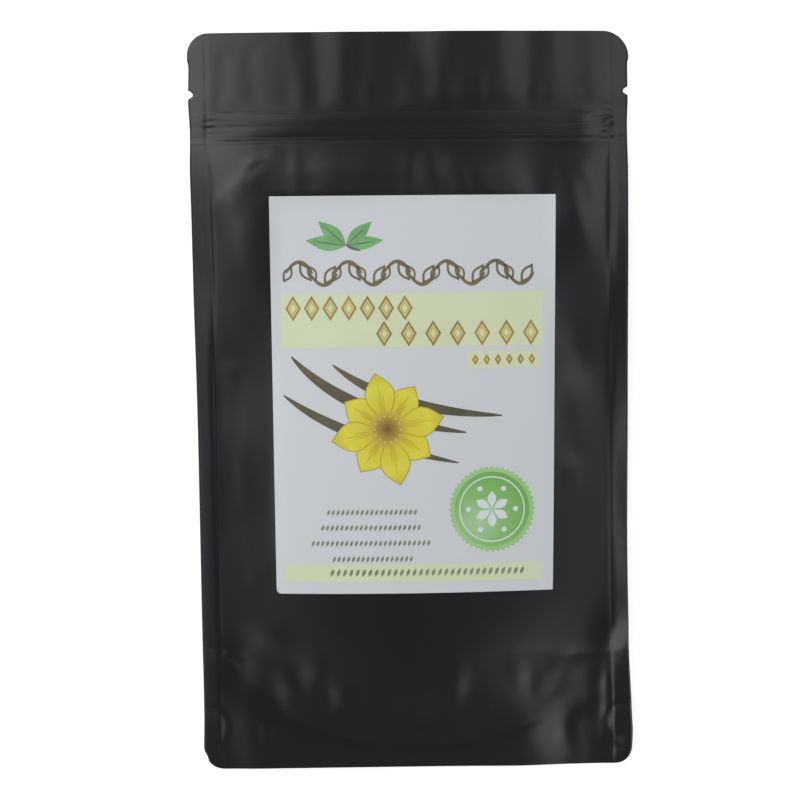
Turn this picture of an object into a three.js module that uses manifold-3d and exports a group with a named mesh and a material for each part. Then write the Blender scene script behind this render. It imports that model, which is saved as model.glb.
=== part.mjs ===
// Flat-lying black stand-up pouch, shut, with a paper label on its front.
// Millimetres. X runs across the pouch, Y from its bottom edge to its top edge, Z up from the table.
import * as THREE from 'three';
import { mergeVertices } from 'three/addons/utils/BufferGeometryUtils.js';
import Module from 'manifold-3d';

const wasm = await Module();
wasm.setup();

// Pouch blank and its seals
const PACK_WIDTH = 160;
const PACK_LENGTH = 270;
const CORNER_RADIUS = 7.2;
const SIDE_SEAL = 6.8;
const SEAL_THICKNESS = 0.6;
const NOTCH_FROM_TOP = 22;
const NOTCH_DEPTH = 1.9;
const NOTCH_HEIGHT = 3.0;
const WASTE_MARGIN = 1;

// Zip band, measured down from the top edge
const ZIP_TOP = 28.8;
const ZIP_BOTTOM = 39.6;
const ZIP_BAND_RELIEF = 0.3;
const ZIP_RIDGES = [
  { fromTop: 32.0, halfWidth: 1.3, height: 0.55 },
  { fromTop: 36.6, halfWidth: 1.5, height: 0.85 },
];
const ZIP_CRUSHED_END = 8;
const ZIP_EDGE_BLEND = 0.6;

// Bottom gusset, folded shut between a front lip and a back lip
const GUSSET_DEPTH = 43;
const ARC_FROM_BOTTOM = 8.6;
const ARC_RADIUS = 110;
const LIP_THICKNESS = 0.7;
const SLOT_THICKNESS = 0.7;
const SLOT_SIDE_MARGIN = 6;
const FOLD_BLEND = 1;

// Fullness of the shut pouch as it lies on its back
const FRONT_BULGE = 12;
const BACK_BULGE = 9;
const SIDE_PULL_IN = 1.5;
const BOTTOM_PULL_IN = 0.6;
const SEAM_AT_HEADER = 4.7;
const SEAM_AT_BODY = 6.8;
const SEAM_AT_BOTTOM = 3.6;
const SEAM_RUN = 30;
const SEAL_DROOP = 0.3;
const BULGE_FROM_TOP = 37.6;
const FULL_BELOW_ZIP = 32;
const FULL_ABOVE_ARC = 20;

// Header above the body: an arch, a twist that lifts its left corner, and soft upright pleats
const HEADER_ARCH = 6;
const HEADER_ARCH_X = -3;
const HEADER_TWIST = 3.9;
const HEADER_FADE = 55;
const HEADER_PLEATS = [
  { x: -50, halfWidth: 8, height: 0.8 },
  { x: -26, halfWidth: 6, height: 0.8 },
  { x: 9, halfWidth: 8, height: 1.0 },
  { x: 42, halfWidth: 7, height: 1.0 },
];
const PLEAT_SHARE_AT_TOP_EDGE = 0.25;
const PLEAT_TOP_RUN = 14;
const PLEAT_ZIP_RUN = 7;

// Folds that run down from the zip into the body
const BODY_PLEATS = [
  { x: -42, halfWidth: 6, height: 0.8, length: 18 },
  { x: -3, halfWidth: 6, height: 0.8, length: 22 },
  { x: 15, halfWidth: 5, height: 1.0, length: 28 },
  { x: 41, halfWidth: 6, height: 1.0, length: 24 },
];
const BODY_PLEAT_START = 4;

// Slanted folds from the ends of the zip to the side seals: places across, and down from the top edge
const CORNER_FOLDS = [
  { start: [-50, 43], end: [-72, 63], halfWidth: 5, height: 0.9 },
  { start: [50, 41], end: [72, 63], halfWidth: 5, height: 0.9 },
];

// Paper label, stuck on the front
const LABEL_WIDTH = 104;
const LABEL_HEIGHT = 146;
const LABEL_CENTRE_X = 0.6;
const LABEL_TOP_FROM_TOP = 58.8;
const LABEL_ROUNDED_CORNER = 1.8;
const LABEL_SHARP_CORNER = 0.2;
const LABEL_THICKNESS = 0.25;
const LABEL_GAP = 0.1;

// Surface mesh: stretches of even steps across half the width and along the length
const HALF_WIDTH_STEPS = [
  { to: PACK_WIDTH / 2 - SIDE_SEAL, steps: 14 },
  { to: PACK_WIDTH / 2 - SIDE_SEAL + 1, steps: 1 },
  { to: PACK_WIDTH / 2, steps: 1 },
];
const LENGTH_STEPS = [
  { to: GUSSET_DEPTH, steps: 11 },
  { to: PACK_LENGTH - ZIP_BOTTOM, steps: 24 },
  { to: PACK_LENGTH - ZIP_TOP, steps: 10 },
  { to: PACK_LENGTH, steps: 7 },
];

const ARC_SEGMENTS = 6;
const CUTTER_HEIGHT = 60;
const MERGE_DISTANCE = 1e-4;

const HALF_WIDTH = PACK_WIDTH / 2;
const HALF_LENGTH = PACK_LENGTH / 2;
const SEAL_INNER = HALF_WIDTH - SIDE_SEAL;
const ARC_CENTRE_Y = -HALF_LENGTH + ARC_FROM_BOTTOM + ARC_RADIUS;

const bell = (distance, halfWidth) => Math.exp(-((distance / halfWidth) ** 2));
const ramp = (from, to, value) => THREE.MathUtils.smoothstep(value, from, to);
const fromTop = (y) => HALF_LENGTH - y;

// Depth inside the curved bottom seal: positive above the arc
function aboveArc(x, y) {
  if (y > ARC_CENTRE_Y) return ARC_RADIUS - Math.abs(x);
  return ARC_RADIUS - Math.hypot(x, y - ARC_CENTRE_Y);
}

// How full the pouch is along its length, from 0 at the zip to 1
function fullBelowZip(y) {
  return 1 - Math.exp(-Math.max(fromTop(y) - BULGE_FROM_TOP, 0) / FULL_BELOW_ZIP);
}

function fullness(x, y) {
  const across = Math.max(1 - (x / SEAL_INNER) ** 2, 0);
  const nearArc = 1 - Math.exp(-Math.max(aboveArc(x, y), 0) / FULL_ABOVE_ARC);
  return across * fullBelowZip(y) * nearArc;
}

// How far each side edge is drawn in by the fullness between the films
function pullIn(y) {
  const offBottom = ramp(0, GUSSET_DEPTH, y + HALF_LENGTH);
  return fullBelowZip(y) * THREE.MathUtils.lerp(BOTTOM_PULL_IN, SIDE_PULL_IN, offBottom);
}

// Height of the plane where front and back film meet
function seamHeight(x, y) {
  const headerShare = 1 - ramp(ZIP_TOP, ZIP_BOTTOM + HEADER_FADE, fromTop(y));
  const offBottom = 1 - Math.exp(-(y + HALF_LENGTH) / SEAM_RUN);
  const below = THREE.MathUtils.lerp(SEAM_AT_BOTTOM, SEAM_AT_BODY, offBottom);
  const body = THREE.MathUtils.lerp(SEAM_AT_HEADER, below, fullBelowZip(y));
  const reach = HALF_WIDTH + Math.abs(HEADER_ARCH_X);
  const arch = HEADER_ARCH * (1 - ((x - HEADER_ARCH_X) / reach) ** 2) - HEADER_TWIST * (x / HALF_WIDTH);
  const droop = SEAL_DROOP * Math.max(Math.abs(x) - SEAL_INNER, 0) * fullBelowZip(y) * offBottom;
  return body + arch * headerShare - droop + headerPleats(x, y);
}

function headerPleats(x, y) {
  const offTopEdge = ramp(0, PLEAT_TOP_RUN, fromTop(y));
  const offZip = 1 - ramp(ZIP_TOP - PLEAT_ZIP_RUN, ZIP_TOP, fromTop(y));
  const share = THREE.MathUtils.lerp(PLEAT_SHARE_AT_TOP_EDGE, 1, offTopEdge) * offZip;
  const heightAt = (pleat) => pleat.height * bell(x - pleat.x, pleat.halfWidth);
  return share * HEADER_PLEATS.reduce((sum, pleat) => sum + heightAt(pleat), 0);
}

function bodyPleats(x, y) {
  const down = Math.max(fromTop(y) - ZIP_BOTTOM, 0);
  const share = (pleat) => Math.exp(-down / pleat.length);
  const heightAt = (pleat) => pleat.height * bell(x - pleat.x, pleat.halfWidth) * share(pleat);
  return ramp(0, BODY_PLEAT_START, down) * BODY_PLEATS.reduce((sum, pleat) => sum + heightAt(pleat), 0);
}

// Ridge along a straight fold that dies away past both of its ends
function foldRelief(x, y, fold) {
  const [fromX, fromDown] = fold.start;
  const alongX = fold.end[0] - fromX;
  const alongDown = fold.end[1] - fromDown;
  const length = Math.hypot(alongX, alongDown);
  const part = ((x - fromX) * alongX + (fromTop(y) - fromDown) * alongDown) / length ** 2;
  const near = THREE.MathUtils.clamp(part, 0, 1);
  const away = Math.hypot(x - fromX - near * alongX, fromTop(y) - fromDown - near * alongDown);
  return fold.height * bell(away, fold.halfWidth);
}

function cornerFolds(x, y) {
  return CORNER_FOLDS.reduce((sum, fold) => sum + foldRelief(x, y, fold), 0);
}

// Relief of the zip strips through the film, pressed flat at both ends
function zipRelief(x, y) {
  const down = fromTop(y);
  const crushed = 1 - ramp(SEAL_INNER - ZIP_CRUSHED_END, SEAL_INNER, Math.abs(x));
  const belowTop = ramp(ZIP_TOP - ZIP_EDGE_BLEND, ZIP_TOP + ZIP_EDGE_BLEND, down);
  const aboveBottom = 1 - ramp(ZIP_BOTTOM - ZIP_EDGE_BLEND, ZIP_BOTTOM + ZIP_EDGE_BLEND, down);
  const heightAt = (ridge) => ridge.height * bell(down - ridge.fromTop, ridge.halfWidth);
  const ridges = ZIP_RIDGES.reduce((sum, ridge) => sum + heightAt(ridge), 0);
  return belowTop * aboveBottom * ZIP_BAND_RELIEF + crushed * ridges;
}

// Extra plies of the folded gusset, which run out into the side seals
function gussetPlies(x, y) {
  const fold = 1 - ramp(GUSSET_DEPTH - FOLD_BLEND, GUSSET_DEPTH + FOLD_BLEND, y + HALF_LENGTH);
  return fold * LIP_THICKNESS * (1 - ramp(SEAL_INNER - SIDE_SEAL, SEAL_INNER, Math.abs(x)));
}

function filmThickness(x, y) {
  return SEAL_THICKNESS / 2 + gussetPlies(x, y) + zipRelief(x, y);
}

function frontHeight(x, y) {
  const relief = bodyPleats(x, y) + cornerFolds(x, y);
  return seamHeight(x, y) + filmThickness(x, y) + FRONT_BULGE * fullness(x, y) + relief;
}

function backHeight(x, y) {
  return Math.max(seamHeight(x, y) - filmThickness(x, y) - BACK_BULGE * fullness(x, y), 0);
}

// Line positions of the surface mesh, from its stretches of even steps
function stops(stretches, start) {
  const places = [start];
  for (const stretch of stretches) {
    const from = places[places.length - 1];
    for (let i = 1; i <= stretch.steps; i += 1) {
      places.push(from + ((stretch.to - from) * i) / stretch.steps);
    }
  }
  return places;
}

const halfStops = stops(HALF_WIDTH_STEPS, 0);
const ACROSS = [...halfStops.slice(1).reverse().map((x) => -x), ...halfStops];
const ALONG = stops(LENGTH_STEPS, 0).map((y) => y - HALF_LENGTH);

function toManifold(geometry) {
  const bare = geometry.clone();
  bare.deleteAttribute('normal');
  bare.deleteAttribute('uv');
  const merged = mergeVertices(bare, MERGE_DISTANCE);
  return new wasm.Manifold(new wasm.Mesh({
    numProp: 3,
    vertProperties: merged.attributes.position.array,
    triVerts: new Uint32Array(merged.index.array),
  }));
}

function toGeometry(solid) {
  const mesh = solid.getMesh();
  const geometry = new THREE.BufferGeometry();
  geometry.setAttribute('position', new THREE.BufferAttribute(mesh.vertProperties, 3));
  geometry.setIndex(new THREE.BufferAttribute(mesh.triVerts, 1));
  geometry.computeVertexNormals();
  return geometry;
}

// A solid between two height functions, over the whole blank
function layer(low, high) {
  const box = new THREE.BoxGeometry(PACK_WIDTH, PACK_LENGTH, 1, ACROSS.length - 1, ALONG.length - 1, 1);
  const place = box.attributes.position;
  for (let i = 0; i < place.count; i += 1) {
    const column = Math.round((place.getX(i) / PACK_WIDTH + 0.5) * (ACROSS.length - 1));
    const row = Math.round((place.getY(i) / PACK_LENGTH + 0.5) * (ALONG.length - 1));
    const x = ACROSS[column];
    const y = ALONG[row];
    const height = place.getZ(i) > 0 ? high(x, y) : low(x, y);
    place.setXYZ(i, x * (1 - pullIn(y) / HALF_WIDTH), y, height);
  }
  return toManifold(box);
}

// An upright cutter of a flat outline, tall enough to pass through the pouch
function cutter(outline) {
  const options = { depth: CUTTER_HEIGHT, bevelEnabled: false, curveSegments: ARC_SEGMENTS };
  const geometry = new THREE.ExtrudeGeometry(outline, options);
  geometry.translate(0, 0, -CUTTER_HEIGHT / 2);
  return toManifold(geometry);
}

// The flat label, whose lower left corner alone is rounded
function labelOutline(left, bottom, right, top) {
  const corners = [
    { x: right, y: bottom, radius: LABEL_SHARP_CORNER, turn: -0.5 },
    { x: right, y: top, radius: LABEL_SHARP_CORNER, turn: 0 },
    { x: left, y: top, radius: LABEL_SHARP_CORNER, turn: 0.5 },
    { x: left, y: bottom, radius: LABEL_ROUNDED_CORNER, turn: 1 },
  ];
  const shape = new THREE.Shape();
  for (const { x, y, radius, turn } of corners) {
    const centreX = x - Math.sign(x - LABEL_CENTRE_X) * radius;
    const centreY = y === top ? y - radius : y + radius;
    shape.absarc(centreX, centreY, radius, turn * Math.PI, (turn + 0.5) * Math.PI);
  }
  shape.closePath();
  return shape;
}

// What lies outside the round corner of the pouch at a given side and end
function cornerWaste(side, end) {
  const pulled = end < 0 ? BOTTOM_PULL_IN * fullBelowZip(-HALF_LENGTH) : 0;
  const edgeX = side * (HALF_WIDTH - pulled);
  const edgeY = end * HALF_LENGTH;
  const centreX = edgeX - side * CORNER_RADIUS;
  const centreY = edgeY - end * CORNER_RADIUS;
  const startAngle = end * Math.PI / 2;
  const endAngle = side > 0 ? 0 : end * Math.PI;
  const shape = new THREE.Shape();
  shape.moveTo(centreX, edgeY + end * WASTE_MARGIN);
  shape.absarc(centreX, centreY, CORNER_RADIUS, startAngle, endAngle, side * end > 0);
  shape.lineTo(edgeX + side * WASTE_MARGIN, centreY);
  shape.lineTo(edgeX + side * WASTE_MARGIN, edgeY + end * WASTE_MARGIN);
  return shape;
}

function tearNotch(side) {
  const outer = side * (HALF_WIDTH + WASTE_MARGIN);
  const tip = side * (HALF_WIDTH - NOTCH_DEPTH);
  const y = HALF_LENGTH - NOTCH_FROM_TOP;
  const shape = new THREE.Shape();
  shape.moveTo(outer, y - NOTCH_HEIGHT / 2);
  shape.lineTo(side * HALF_WIDTH, y - NOTCH_HEIGHT / 2);
  shape.quadraticCurveTo(tip, y - NOTCH_HEIGHT / 4, tip, y);
  shape.quadraticCurveTo(tip, y + NOTCH_HEIGHT / 4, side * HALF_WIDTH, y + NOTCH_HEIGHT / 2);
  shape.lineTo(outer, y + NOTCH_HEIGHT / 2);
  return shape;
}

// The gap between front lip and back lip, open at the bottom edge
function gussetSlot() {
  const reach = SEAL_INNER - SLOT_SIDE_MARGIN;
  const mouth = -HALF_LENGTH - WASTE_MARGIN;
  const depth = -HALF_LENGTH + GUSSET_DEPTH - FOLD_BLEND;
  const outline = new THREE.Shape();
  outline.moveTo(-reach, mouth);
  outline.lineTo(reach, mouth);
  outline.lineTo(reach, depth);
  outline.lineTo(-reach, depth);
  const half = SLOT_THICKNESS / 2;
  const gap = layer((x, y) => seamHeight(x, y) - half, (x, y) => seamHeight(x, y) + half);
  return gap.intersect(cutter(outline));
}

function makePouch() {
  let pouch = layer(backHeight, frontHeight);
  for (const side of [-1, 1]) {
    pouch = pouch.subtract(cutter(tearNotch(side)));
    for (const end of [-1, 1]) {
      pouch = pouch.subtract(cutter(cornerWaste(side, end)));
    }
  }
  return pouch.subtract(gussetSlot());
}

function makeLabel() {
  const left = LABEL_CENTRE_X - LABEL_WIDTH / 2;
  const top = HALF_LENGTH - LABEL_TOP_FROM_TOP;
  const outline = labelOutline(left, top - LABEL_HEIGHT, left + LABEL_WIDTH, top);
  const under = (x, y) => frontHeight(x, y) + LABEL_GAP;
  const over = (x, y) => under(x, y) + LABEL_THICKNESS;
  return layer(under, over).intersect(cutter(outline));
}

const filmMaterial = new THREE.MeshStandardMaterial({ color: 0x1f2123, roughness: 0.48, metalness: 0 });
const paperMaterial = new THREE.MeshStandardMaterial({ color: 0xe4e8ea, roughness: 0.6, metalness: 0 });

function addPiece(group, name, solid, material) {
  const mesh = new THREE.Mesh(toGeometry(solid), material);
  mesh.name = name;
  group.add(mesh);
}

const pack = new THREE.Group();
addPiece(pack, 'pouch', makePouch(), filmMaterial);
addPiece(pack, 'label', makeLabel(), paperMaterial);

export default pack;
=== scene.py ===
import math

import bmesh
import bpy
import numpy as np
from mathutils import Matrix, Vector


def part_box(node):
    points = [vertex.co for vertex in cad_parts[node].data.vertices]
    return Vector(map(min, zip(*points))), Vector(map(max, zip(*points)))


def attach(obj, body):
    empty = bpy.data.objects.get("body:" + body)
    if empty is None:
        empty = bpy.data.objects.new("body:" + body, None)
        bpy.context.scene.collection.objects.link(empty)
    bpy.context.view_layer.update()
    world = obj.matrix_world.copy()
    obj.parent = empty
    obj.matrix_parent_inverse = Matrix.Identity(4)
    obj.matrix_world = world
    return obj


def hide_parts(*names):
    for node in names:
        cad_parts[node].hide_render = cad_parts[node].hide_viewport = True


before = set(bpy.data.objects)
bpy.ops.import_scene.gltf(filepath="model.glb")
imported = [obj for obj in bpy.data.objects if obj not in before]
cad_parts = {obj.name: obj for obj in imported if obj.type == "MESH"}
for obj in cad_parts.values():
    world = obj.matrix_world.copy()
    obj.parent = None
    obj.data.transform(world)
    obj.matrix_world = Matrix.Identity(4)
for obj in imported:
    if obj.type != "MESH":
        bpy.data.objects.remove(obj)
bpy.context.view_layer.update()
print("stage: frame loaded")

mm = 0.001  # everything below is in millimetres until it becomes a mesh
pouchLow, pouchHigh = (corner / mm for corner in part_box("pouch"))
labelLow, labelHigh = (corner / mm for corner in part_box("label"))
halfWidth = (pouchHigh.x - pouchLow.x) / 2
halfLength = (pouchHigh.y - pouchLow.y) / 2

# The shut pouch as it lies on its back; "down" is measured from its top edge

blank = {
    "sideSeal": 6.8,
    "corners": {"topLeft": 7.8, "topRight": 9.2, "bottomLeft": 7.9, "bottomRight": 6.0},
    "cornerZone": 14.0,  # the outer strip of the film that follows corners and notches
    "bottomNick": (265.0, 2.0, 0.8),  # down, half height, depth, on the lower left corner only
    "topSkew": 0.45,
    "skewReach": 40.0,
    "notchDown": 22.0,
    "notchDepth": 1.9,
    "notchHeight": 3.0,
    "notchPoint": 1.4,  # the higher, the narrower the notch is at its tip
    "stepDepth": 0.45,  # small die step under each top corner
    "stepStarts": (10.0, 10.9),
    "stepFades": (11.6, 28.0),
    "film": 0.14,
    "sealHalf": 0.17,
}
# How far each side edge stands out from a straight line: down, half length, outward
edgeDrift = {
    "left": [(36, 9, -0.7), (92, 32, 0.4), (252, 16, -0.45)],
    "right": [(10, 8, 0.25), (36, 10, -0.6), (78, 26, 0.2), (193, 32, -0.5), (247, 13, 0.35),
              (258, 6, 0.4)],
}
fill = {
    "frontBulge": 8.8,
    "backBulge": 9.6,
    "bulgeDown": 37.6,  # where the filled body starts
    "belowZip": 38.0,  # how fast it fills below the zip and above the foot's arc
    "aboveArc": 18.0,
    "arcEase": 5.0,
    "pullIn": 1.5,  # how far the side edges draw in where the pouch is full
    "bottomPullIn": 0.6,
    "seamHeader": 6.4,  # height of the side seals at the header, beside the body and at the foot
    "seamBody": 9.9,
    "seamBottom": 3.8,
    "seamRun": 30.0,
    "arch": 5.4,  # the header's arch, and its twist from left to right
    "archX": 4.0,
    "twist": 3.2,
    "headerFade": 55.0,
    "headerDrop": 2.4,  # the top edge lies this much lower than the zip
    "headerCurve": 1.05,
}
# Slope at which the outer rim of each side seal hangs: down, half length, slope
sealBend = {
    "left": [(12, 25, 0.14), (165, 95, 0.34)],
    "right": [(10, 20, 0.06), (168, 40, 0.55)],
    "leftPower": 2.0,  # 1 bends sharply at the seal's inner edge, 2 bends evenly across it
    "rightPower": 1.25,
}
zipBand = {
    "top": 28.8,
    "bottom": 39.6,
    "blend": 0.6,
    "relief": 0.06,
    "crushedEnd": 8.0,
    "endRidges": 0.25,  # shares of the ridges and grooves that are left at the crushed ends
    "endGrooves": 0.15,
    "ridges": [(31.4, 1.3, 0.03), (36.0, 1.4, 0.03), (39.0, 0.6, 0.03)],  # down, half width, height
    "grooves": [(28.8, 0.35, 0.06), (33.6, 0.5, 0.015), (37.9, 0.4, 0.05), (40.1, 0.5, 0.02)],
}
gusset = {
    "depth": 43.0,
    "arcUp": 8.6,
    "arcRadius": 110.0,
    "lip": 0.5,
    "blend": 22.0,
    "arcStep": 0.1,
    "arcStepRun": (-1.2, 1.6),
    "arcGroove": (-0.6, 0.9, 0.24),  # above the arc, half width, depth
    "arcMiddle": -4.0,
    "arcFades": (34.0, 60.0),
    "moonRadius": 8.1,
    "moonUp": 15.7,
    "moonRim": (-0.2, 1.3, 0.33),  # outside the radius, half width, height
    "moonDrop": 0.08,
    "moonEdge": (-0.7, 0.5),
}

sealInner = halfWidth - blank["sideSeal"]
arcCentreY = -halfLength + gusset["arcUp"] + gusset["arcRadius"]


def bell(distance, width):
    return np.exp(-((distance / width) ** 2))


def bells(places, down):
    return sum(size * bell(down - place, width) for place, width, size in places)


def ramp(start, end, value):
    part = np.clip((value - start) / (end - start), 0, 1)
    return part * part * (3 - 2 * part)


def kept(share, part):
    # from a share to the whole as part goes from 0 to 1
    return share + (1 - share) * part


def aboveArc(x, y):
    away = np.where(y > arcCentreY, np.abs(x), np.hypot(x, y - arcCentreY))
    return gusset["arcRadius"] - away


def fullBelowZip(y):
    return 1 - np.exp(-np.maximum(halfLength - y - fill["bulgeDown"], 0) / fill["belowZip"])


def fullness(x, y):
    across = np.maximum(1 - (x / sealInner) ** 2, 0)
    above = np.hypot(np.maximum(aboveArc(x, y), 0), fill["arcEase"]) - fill["arcEase"]
    nearArc = 1 - np.exp(-above / fill["aboveArc"])
    return across * fullBelowZip(y) * nearArc


def pullIn(y):
    offBottom = ramp(0, gusset["depth"], y + halfLength)
    return fullBelowZip(y) * (fill["bottomPullIn"] + (fill["pullIn"] - fill["bottomPullIn"]) * offBottom)


def narrowing(y):
    return 1 - pullIn(y) / halfWidth


def seamHeight(x, y):
    down = halfLength - y
    headerShare = 1 - ramp(zipBand["top"], zipBand["bottom"] + fill["headerFade"], down)
    offBottom = 1 - np.exp(-(y + halfLength) / fill["seamRun"])
    below = fill["seamBottom"] + (fill["seamBody"] - fill["seamBottom"]) * offBottom
    body = fill["seamHeader"] + (below - fill["seamHeader"]) * fullBelowZip(y)
    reach = halfWidth + abs(fill["archX"])
    arch = fill["arch"] * (1 - ((x - fill["archX"]) / reach) ** 2) - fill["twist"] * x / halfWidth
    outside = np.maximum(np.abs(x) - sealInner, 0)
    bend = np.where(x < 0, bells(sealBend["left"], down), bells(sealBend["right"], down))
    power = np.where(x < 0, sealBend["leftPower"], sealBend["rightPower"])
    droop = bend * outside * (outside / blank["sideSeal"]) ** (power - 1) / power
    aboveZip = np.maximum(zipBand["bottom"] - down, 0) / zipBand["bottom"]
    drop = fill["headerDrop"] * aboveZip ** fill["headerCurve"]
    ripples = (creases(headerRipples, x, down) + headerWaves(x, down)) * rippleShare(down)
    return body + arch * headerShare - droop - drop + ripples + facets(hemFacets, x, down)


def rippleShare(down):
    return 1 - ramp(*foldHold["headerEase"], down - zipBand["top"])


def wave(points, x):
    places, heights = np.array(points).T
    at = np.clip(np.searchsorted(places, x) - 1, 0, len(points) - 2)
    part = (x - places[at]) / (places[at + 1] - places[at])
    part = (1 - waveRound) * part + waveRound * ramp(0, 1, part)
    return heights[at] + (heights[at + 1] - heights[at]) * part


def headerWaves(x, down):
    part = np.clip(down / zipBand["top"], 0, 1)
    return (1 - part) * wave(headerWave["top"], x) + part * wave(headerWave["zip"], x)


# The loose header's crests and dips as (x, height), at the top edge and just above the zip

waveRound = 0.6  # 0 joins them by straight slopes, 1 by round ones
headerWave = {
    "top": [(-80, 0), (-43, 0.1), (-34, -0.35), (-23.5, 0.05), (-15, -0.3), (-7, -0.4), (0, -0.6),
            (16.5, 1.0), (33, 1.25), (44, 0.6), (53, 0.95), (60, 0.75), (80, 0.8)],
    "zip": [(-80, 0), (-58, 0), (-48, 0.1), (-44, 0), (-38.5, 0.2), (-33, -0.15), (-24.5, 0.2),
            (-18, -0.2), (-6, -0.4), (1, 0.1), (5, -0.1), (11.5, 0.4), (20, 0.15), (35, 0.3),
            (44, -0.15), (53, 0.2), (60, 0.1), (80, 0.4)],
}
# The same for the film between zip and label, with the slack that lets it lie flatter there
underZipWave = [(-80, 0), (-58, 0), (-40, 0.7), (-30, 0.9), (-18, 0.75), (-7, 0.25), (0, 0.3),
                (8, -0.25), (18, 0.7), (21.5, 0.62), (25, 0.72), (35, 0.5), (43, 0.25), (55, 0.35),
                (62, 0), (80, 0)]
slack = {"x": 5.0, "halfWidth": 62.0, "down": 60.0, "reach": 22.0, "depth": 1.8,
         "lean": 0.36, "leanFrom": 18.0, "leanDown": 50.0}

# Creases: start and end as (x, down), half widths to the left and right of the line, height

headerRipples = [
    ((-66.5, 10), (-68, 24), 3, 3, -0.09),
    ((-57, 8), (-56, 25), 3, 2.5, -0.08),
    ((-12.5, 4), (-13, 27), 2.5, 2.5, 0.1),
    ((-15.6, 19), (-15.2, 27), 2, 2, 0.1),
    ((25.8, 17), (25.6, 27), 2.2, 2.2, 0.14),
    ((46.5, 21), (46.2, 27), 2, 2, 0.12),
    ((15, 19), (14.5, 27), 2, 2, 0.1),
    ((67, 4), (67.4, 27), 3, 3, 0.1),
]
underZipFolds = [
    ((-41.5, 41), (-41, 64), 2.5, 2.5, 0.12),
    ((0, 46), (-2, 64), 2.5, 3, 0.12),
]
cornerFolds = [
    ((-50, 43), (-73, 63), 2.6, 6, 0.27),
    ((55, 39), (63, 49), 5, 6, 0.35),
    ((63, 49), (72.5, 65), 5, 6, 0.3),
]
bodyDents = [
    ((-68, 122), (-60, 196), 2.5, 5, 0.2),
]
gussetDents = [
    ((41, 226), (59, 228.2), 2.2, 3.4, -0.09),
    ((59, 228.2), (80, 227), 1.0, 2.4, -0.16),
    ((-80, 226), (-71, 226.5), 0.9, 1.1, 0.28),
    ((-71, 226.5), (-66, 230), 0.9, 1.3, 0.26),
]

# Facets: x, down, half length, half width, turned by, facing (degrees round from +X), slope

upperFacets = [
    (-57, 34, 20, 7, 0, 180, 0.05),
    (67.5, 34, 6, 6, 90, 0, 0.11),
    (-57, 47.5, 3.6, 2.0, 35, -60, 0.17),
    (55, 60, 17, 8, 118, 180, 0.09),
    (-62, 108, 42, 14, 92, -90, 0.12),
    (64, 96, 38, 14, 88, -90, 0.08),
    (60.5, 125, 13, 5, 95, 100, 0.08),
    (59, 156, 6, 3.5, 90, 100, 0.08),
    (-59, 160, 28, 14, 90, -90, 0.065),
    (-65, 155, 24, 3.5, 82, 180, 0.06),
]
lowerFacets = [
    (-59, 221, 5.5, 7.5, 90, 200, 0.14),
    (-63, 231, 7.5, 6.5, 95, 190, 0.16),
    (-50.5, 240.5, 7, 5.2, -58, 200, 0.17),
    (-41, 233.5, 6, 5, 95, 185, 0.17),
    (-30.5, 243.5, 7.5, 4.4, -68, 190, 0.2),
    (-58, 255.5, 4, 2.6, 95, 190, 0.24),
    (-1.5, 250.5, 5, 3.4, -60, 190, 0.22),
    (17, 243, 10, 4.6, 92, -20, 0.14),
    (40, 237, 6, 3, -65, -30, 0.075),
    (45, 235.5, 4, 3, 90, 180, 0.06),
    (52.5, 235, 6, 3, 80, -40, 0.06),
    (61, 238.5, 8, 7, 0, -35, 0.11),
    (56, 247, 11, 4.5, 29, -60, 0.16),
    (57, 257, 4.2, 3, 90, 180, 0.17),
    (66, 249, 6, 3.4, 90, 180, 0.12),
    (70.6, 239, 6.5, 4.2, 90, -20, 0.13),
]
# The same where the films lie flat on each other, so that both follow
hemFacets = [
    (50, 260, 15, 18, 90, -20, 0.24),
    (63, 258, 14, 4, 90, -20, 0.1),
    (-66, 257, 13, 9, 90, 215, 0.12),
    (69, 256, 14, 5.5, 90, -20, 0.2),
]
sealFacets = [
    (76.5, 221.5, 9, 6, 90, -20, 0.36),
    (72, 241, 8, 1.6, 90, 180, 0.2),
    (75.5, 263, 5, 5, 90, -20, 0.3),
]

# Where folds start, end or are pressed flat

foldHold = {
    "headerEase": (-7, 2),  # down from the zip's top
    "zipEase": (-1, 4),  # down from the zip's bottom
    "waveStarts": (-2, 12),
    "waveFades": (60, 90),  # down
    "sealEase": (-2, 3),  # out from the seal's inner edge
    "onSeal": 0.25,
    "labelEase": (-2, 5),  # in from the label's edges
}


def creases(lines, x, down):
    total = np.zeros_like(x, dtype=float)
    for (startX, startDown), (endX, endDown), left, right, height in lines:
        alongX, alongDown = endX - startX, endDown - startDown
        length = math.hypot(alongX, alongDown)
        part = ((x - startX) * alongX + (down - startDown) * alongDown) / length**2
        side = ((x - startX) * alongDown - (down - startDown) * alongX) / length
        past = np.maximum(np.maximum(-part, part - 1), 0) * length
        width = np.where(side < 0, left, right)
        total += height * bell(side, width) * bell(past, (left + right) / 2)
    return total


def facets(patches, x, down):
    total = np.zeros_like(x, dtype=float)
    for patchX, patchDown, long, short, turn, facing, slope in patches:
        turn, facing = math.radians(turn), math.radians(facing)
        offX, offY = x - patchX, patchDown - down
        along = (offX * math.cos(turn) + offY * math.sin(turn)) / long
        across = (offY * math.cos(turn) - offX * math.sin(turn)) / short
        away = offX * math.cos(facing) + offY * math.sin(facing)
        total -= slope * away * np.exp(-(along**2) - across**2)
    return total


def underZip(x, down):
    # the folds on the right lean outwards on their way down
    lean = slack["lean"] * ramp(0, slack["leanFrom"], x) * (down - slack["leanDown"])
    return wave(underZipWave, np.clip(x - lean, -halfWidth, halfWidth))


def slackBelowZip(x, down):
    share = np.maximum(1 - ((x - slack["x"]) / slack["halfWidth"]) ** 2, 0)
    return -slack["depth"] * share * bell(down - slack["down"], slack["reach"])


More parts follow.
